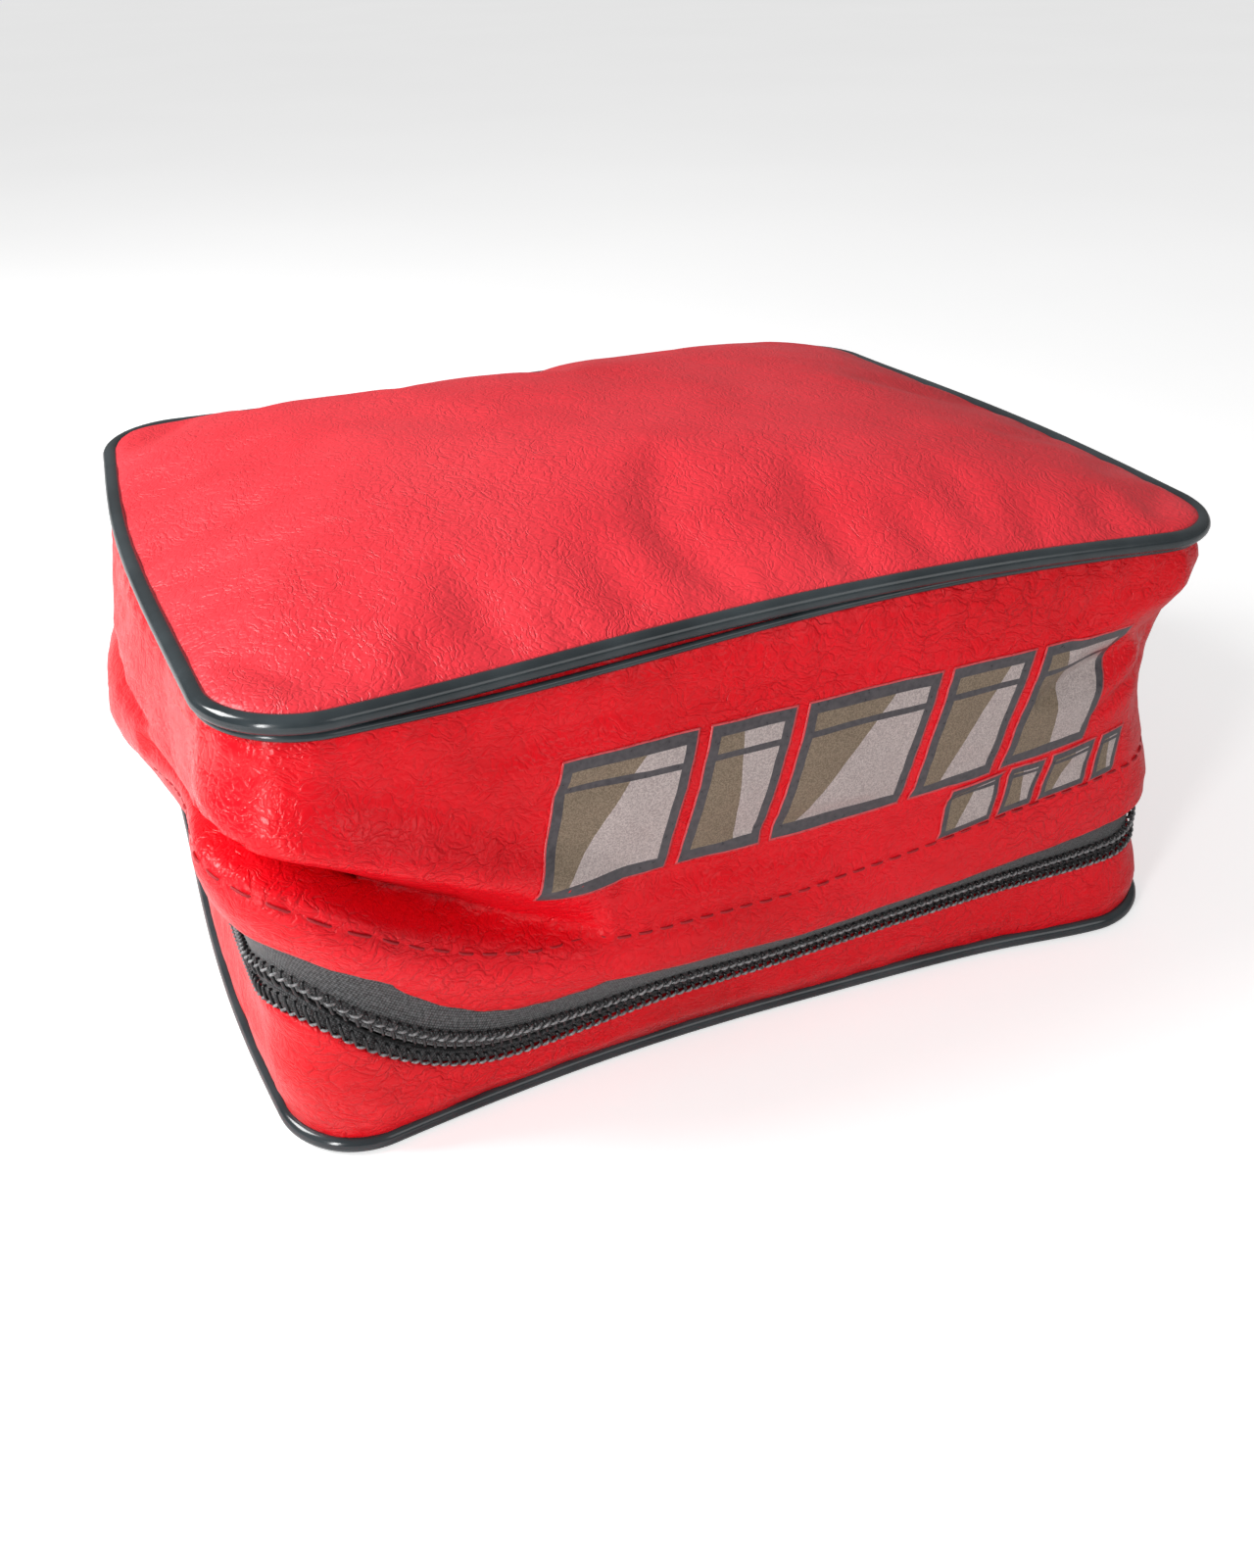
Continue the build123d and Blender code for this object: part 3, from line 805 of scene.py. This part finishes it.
upper_tape_heights = fine_line([(upper_tape_top, 0), (zip_height + 0.5, 0)], 1.0)[:, 0]
upper_tape = wall_sheet(
    "upper_zip_tape_woven", np.stack([upper_tape_heights, flare(upper_tape_heights)], 1), tape_thick,
    (wall_start, wall_end), [tape_weave, tape_weave],
)
finish_piece(upper_tape, "lid", "zip_tape", "upper_zip_tape")
lower_tape = wall_sheet(
    "lower_zip_tape_woven",
    fine_line([(zip_height - 0.5, tape_mid_out), (lower_tape_bottom, tape_mid_out)], 1.0), tape_thick,
    (wall_start, wall_end), [tape_weave, tape_weave],
)
finish_piece(lower_tape, "base", "zip_tape", "lower_zip_tape")

coil_pitch = 2.07
drawn_half_chain = 3.75     # the loops' outline below is drawn for this half width
chain_span = (left(chain_end), right(chain_end))
loops = int((chain_span[1] - chain_span[0]) / coil_pitch)
tape_face = tape_mid_out + tape_thick / 2


def coil_half(name, direction, body, node):
    """Nylon loops of one half of the chain, each from the tape's face over to the chain's middle."""
    along = chain_span[0] + (np.arange(loops) + (0.5 if direction > 0 else 1.0)) * coil_pitch
    half_chain = (chain_high - chain_low) / 2
    across = np.array([3.3, 3.5, 3.1, 2.3, 1.5, 1.1, 0.95, 1.1]) * half_chain / drawn_half_chain
    lift = np.array([0.0, 0.45, 0.95, 1.2, 1.2, 1.1, 0.7, 0.3])
    lean = np.linspace(-0.4, 0.4, len(across)) * direction
    wire = np.array([0.36, 0.36, 0.36, 0.36, 0.38, 0.4, 0.4, 0.38])
    paths = place(
        along[:, None] + lean[None], zip_height + direction * across[None], tape_face + 0.35 + lift[None]
    )
    reference = outward(along)[:, None] + np.zeros((1, len(across), 3))
    points, faces = tubes(paths, wire, np.cross(reference, [0, 0, 1.0]), 7)
    piece = make_object(name, points, faces, [coil_nylon])
    return finish_piece(piece, body, "zip_coil", node)


def chain_stitches(name, direction, body):
    """Twisted thread that ties the loops to the tape, one slanted strand over each loop."""
    along = chain_span[0] + (np.arange(loops) + 0.5) * coil_pitch
    run = np.linspace(-1, 1, 7)
    paths = place(
        along[:, None] + 1.15 * run[None],
        zip_height + direction * 2.75 + 0.5 * run[None],
        tape_face + 1.75 - 0.7 * run[None] ** 2,
    )
    reference = outward(along)[:, None] + np.zeros((1, 7, 3))
    points, faces = tubes(paths, np.array([0.16, 0.28, 0.34, 0.36, 0.34, 0.28, 0.16]), reference, 7)
    piece = make_object(name, points, faces, [coil_thread])
    return finish_piece(piece, body, "thread")


coil_half("upper_zip_coil_loops", 1, "lid", "upper_zip_coil")
coil_half("lower_zip_coil_loops", -1, "base", "lower_zip_coil")
chain_stitches("upper_chain_stitches", 1, "lid")
chain_stitches("lower_chain_stitches", -1, "base")

# ---- Sewing thread ----

stitch_pitch = 4.9
tape_thread_out = tape_mid_out - 0.5


def stitch_row(name, height, out, span, body, node, texture=None):
    """Separate lockstitches along the wall, sunk a little at both ends."""
    count = int((span[1] - span[0]) / stitch_pitch)
    along = span[0] + (np.arange(count) + 0.5) * (span[1] - span[0]) / count
    run = np.linspace(-0.5, 0.5, 7)
    sink = -0.9 * (2 * run) ** 6
    at = along[:, None] + run[None] * 3.6
    paths = place(at, height, out + sink[None])
    if texture is not None:
        paths = paths + outward(at) * texture(at, height, paths)[..., None]
    points, faces = tubes(paths, np.full(7, 0.32), outward(at), 7)
    piece = make_object(name, points, faces, [red_thread])
    return finish_piece(piece, body, "thread", node)


u_span = (wall_start + 1, wall_end - 1)
full_span = (0.0, around)
stitch_row("hem_stitches", stitch_height, lid_out + 0.35, u_span, "lid", "hem_thread", texture=handled)
stitch_row("upper_tape_stitches", upper_tape_top - 4, tape_thread_out, u_span, "lid", "upper_tape_thread")
stitch_row(
    "lower_tape_stitches", lower_tape_bottom + 4, tape_thread_out, u_span, "base", "lower_tape_thread"
)
top_seam_height = size("top_seam_thread")[0][2]
bottom_seam_height = size("bottom_seam_thread")[0][2]
stitch_row("top_seam_stitches", top_seam_height, -1.2, full_span, "lid", "top_seam_thread")
stitch_row("bottom_seam_stitches", bottom_seam_height, -1.9, full_span, "base", "bottom_seam_thread")


def upright_seam(name, low, high, out, body, node):
    """Stitches down both upright seams of the back wall."""
    count = int((high - low) / stitch_pitch)
    middle = low + (np.arange(count) + 0.5) * (high - low) / count
    run = np.linspace(-0.5, 0.5, 7)
    paths = []
    for along in (straight_x - 0.8, around - straight_x + 0.8):
        paths.append(place(along, middle[:, None] + run[None] * 3.7, out + 0.3 * (2 * run[None]) ** 6))
    paths = np.concatenate(paths)
    points, faces = tubes(paths, np.full(7, 0.36), np.array([0.0, 1.0, 0.0]), 7)
    piece = make_object(name, points, faces, [red_thread])
    return finish_piece(piece, body, "thread", node)


upright_seam(
    "upper_back_seam_stitches", hem_height + hem_turn, lid_wall_top - 6, -0.4, "lid",
    "upper_back_seam_threads",
)
upright_seam("lower_back_seam_stitches", 9.5, zip_height - 2, -1.6, "base", "lower_back_seam_threads")

# ---- Printed blocks ----

def block(left_edge, base, width, height, slant, outline, split, tilt):
    """Grid of one leaning block, with cells that follow its outline, cross line and two-tone split."""
    film = 0.4
    strip = height * 0.74
    rows = np.concatenate([
        [0, film], np.linspace(film + outline, strip, int(height / 1.8)),
        np.linspace(strip + outline * 0.55, height - film - outline, 3), [height - film, height],
    ])
    line_row = len(rows) - 6
    share = (rows / height)[:, None]
    inner_left, inner_right = film + outline, width - film - outline
    divide = np.clip((split + tilt * (share - 0.5)) * width, inner_left + 1, inner_right - 1)
    fill = np.linspace(0, 1, max(3, int(width / 3.0)))[None]
    first = inner_left + (divide - inner_left) * fill
    second = divide + (inner_right - divide) * fill[:, 1:]
    ones = np.ones_like(share)
    columns = np.concatenate([0 * ones, film * ones, first, second, (width - film) * ones, width * ones], 1)
    x = left_edge + columns + slant * share
    z = np.broadcast_to(base + rows[:, None], x.shape)
    count = x.shape[1] - 1
    middle = 2 + fill.shape[1] - 1
    kind = np.full((len(rows) - 1, count), 1)
    kind[2:-2, 2:middle] = 3
    kind[2:-2, middle:count - 2] = 2
    kind[line_row] = 1
    kind[0], kind[-1], kind[:, 0], kind[:, -1] = 0, 0, 0, 0
    return x, z, kind


def print_blocks(name, node, left_edge, base, widths, gap, height, slant, outline, tilts):
    """A row of leaning blocks laid on the front, as one piece."""
    vertices, faces, index, offset = [], [], [], 0
    for number, width in enumerate(widths):
        split = 0.42 + 0.1 * (number % 2)
        tilt = tilts[number % len(tilts)]
        x, z, kind = block(left_edge, base, width, height, slant, outline, split, tilt)
        along = front(0) + x
        points = place(along, z, lid_out + 0.12)
        points = points + outward(along) * handled(along, z, points)[..., None]
        skin, quads, side = thick_sheet(points.transpose(1, 0, 2), 0.3)
        cells = kind.T.ravel().tolist()
        index += cells + [1] * len(cells) + [0] * (len(quads) - 2 * len(cells))
        faces += [tuple(v + offset for v in quad) for quad in quads]
        vertices.append(skin)
        offset += len(skin)
        left_edge += width + gap
    facing = np.concatenate(vertices)
    piece = make_object(name, facing, faces, [clear_film, print_outline, silver_flake, bronze_flake], index)
    return finish_piece(piece, "lid", "flake_print", node)


large_low, large_high = size("large_graphic")
small_low, small_high = size("small_graphic")
print_blocks(
    "large_print", "large_graphic", large_low[0], large_low[2], (30.0, 20.0, 33.0, 22.0, 25.0), 2.5,
    large_high[2] - large_low[2], 9.0, 2.2, (0.5, -0.3, 0.6),
)
print_blocks(
    "small_print", "small_graphic", small_low[0], small_low[2], (15.0, 10.0, 14.0, 8.0), 1.8,
    small_high[2] - small_low[2], 3.5, 1.3, (0.4, -0.3),
)

# ---- Slider, pull and stops keep their CAD shape ----

for node in ("slider_body", "slider_bridge", "pull_tab", "lower_end_stop", "upper_end_stop", "start_stop"):
    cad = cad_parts[node]
    cad.data.materials.clear()
    cad.data.materials.append(enamel)

# ---- Floor, light and camera ----

floor_size = 6.0
floor_mesh = bpy.data.meshes.new("floor")
corners = [(floor_size * x, floor_size * y, 0) for x, y in ((-1, -1), (1, -1), (1, 1), (-1, 1))]
floor_mesh.from_pydata(corners, [], [(0, 1, 2, 3)])
floor = bpy.data.objects.new("floor", floor_mesh)
bpy.context.scene.collection.objects.link(floor)
pale = plain_material("pale_floor", (0.88, 0.88, 0.88), (0.91, 0.91, 0.91), 3.0, 0.85, 0.05, 0.0)
pale_nodes, pale_links = pale.node_tree.nodes, pale.node_tree.links
pale_shader = pale_nodes["Principled BSDF"]
pale_shader.inputs["Emission Color"].default_value = (1, 1, 1, 1)
pale_shader.inputs["Specular IOR Level"].default_value = 0.1
floor_seen = add_node(pale_nodes, pale_links, "ShaderNodeLightPath").outputs["Is Camera Ray"]
glow = math_node(pale_nodes, pale_links, "MULTIPLY", floor_seen, 0.5)
pale_links.new(glow, pale_shader.inputs["Emission Strength"])
floor_mesh.materials.append(pale)

world = bpy.data.worlds.new("studio")
bpy.context.scene.world = world
world.use_nodes = True
sky_nodes, sky_links = world.node_tree.nodes, world.node_tree.links
direction = add_node(sky_nodes, sky_links, "ShaderNodeTexCoord").outputs["Generated"]
upward = add_node(sky_nodes, sky_links, "ShaderNodeSeparateXYZ", {0: direction}).outputs[2]
sky = ramp(sky_nodes, sky_links, upward, [(0.0, 0.38), (0.35, 0.7), (0.9, 1.0)])
seen = add_node(sky_nodes, sky_links, "ShaderNodeLightPath").outputs["Is Camera Ray"]
backdrop = add_node(
    sky_nodes, sky_links, "ShaderNodeMix", {0: seen, 6: sky, 7: (2.7, 2.7, 2.7, 1)}, data_type="RGBA"
).outputs[2]
sky_links.new(backdrop, sky_nodes["Background"].inputs["Color"])
sky_nodes["Background"].inputs["Strength"].default_value = 0.36


def soft_light(name, position, target, width, height, power):
    light = bpy.data.lights.new(name, "AREA")
    light.shape = "RECTANGLE"
    light.size, light.size_y, light.energy = width, height, power
    lamp = bpy.data.objects.new(name, light)
    lamp.location = position
    aim = np.array(target) - np.array(position)
    lamp.rotation_mode = "QUATERNION"
    lamp.rotation_quaternion = Vector(aim).to_track_quat("-Z", "Y")
    bpy.context.scene.collection.objects.link(lamp)


case_middle = (0.0, 0.0, 0.06)
soft_light("key", (-0.65, 0.2, 0.6), case_middle, 0.35, 0.3, 6.5)
soft_light("left_strip", (-0.75, -0.55, 0.30), case_middle, 0.12, 0.4, 4.0)
soft_light("front_fill", (0.35, -0.9, 0.5), case_middle, 0.6, 0.4, 1.4)

# The camera's lens, place and angles come from a fit to the case's straight edges in the photo
camera_data = bpy.data.cameras.new("camera")
camera = bpy.data.objects.new("camera", camera_data)
bpy.context.scene.collection.objects.link(camera)
bpy.context.scene.camera = camera
camera_data.sensor_width = 36.0
camera_data.lens = 31.12
camera_data.clip_start = 0.01
azimuth, elevation, roll = math.radians(-23.62), math.radians(32.75), math.radians(-0.971)
back_axis = np.array([
    math.sin(azimuth) * math.cos(elevation), -math.cos(azimuth) * math.cos(elevation), math.sin(elevation),
])
side_axis = np.cross([0, 0, 1.0], back_axis)
side_axis /= np.linalg.norm(side_axis)
up_axis = np.cross(back_axis, side_axis)
rolled_side = side_axis * math.cos(roll) + up_axis * math.sin(roll)
rolled_up = up_axis * math.cos(roll) - side_axis * math.sin(roll)
turned = Matrix([list(row) for row in np.stack([rolled_side, rolled_up, back_axis], 1)]).to_4x4()
camera.matrix_world = Matrix.Translation((-0.1297, -0.2995, 0.2262)) @ turned

scene = bpy.context.scene
scene.view_settings.view_transform = "Standard"
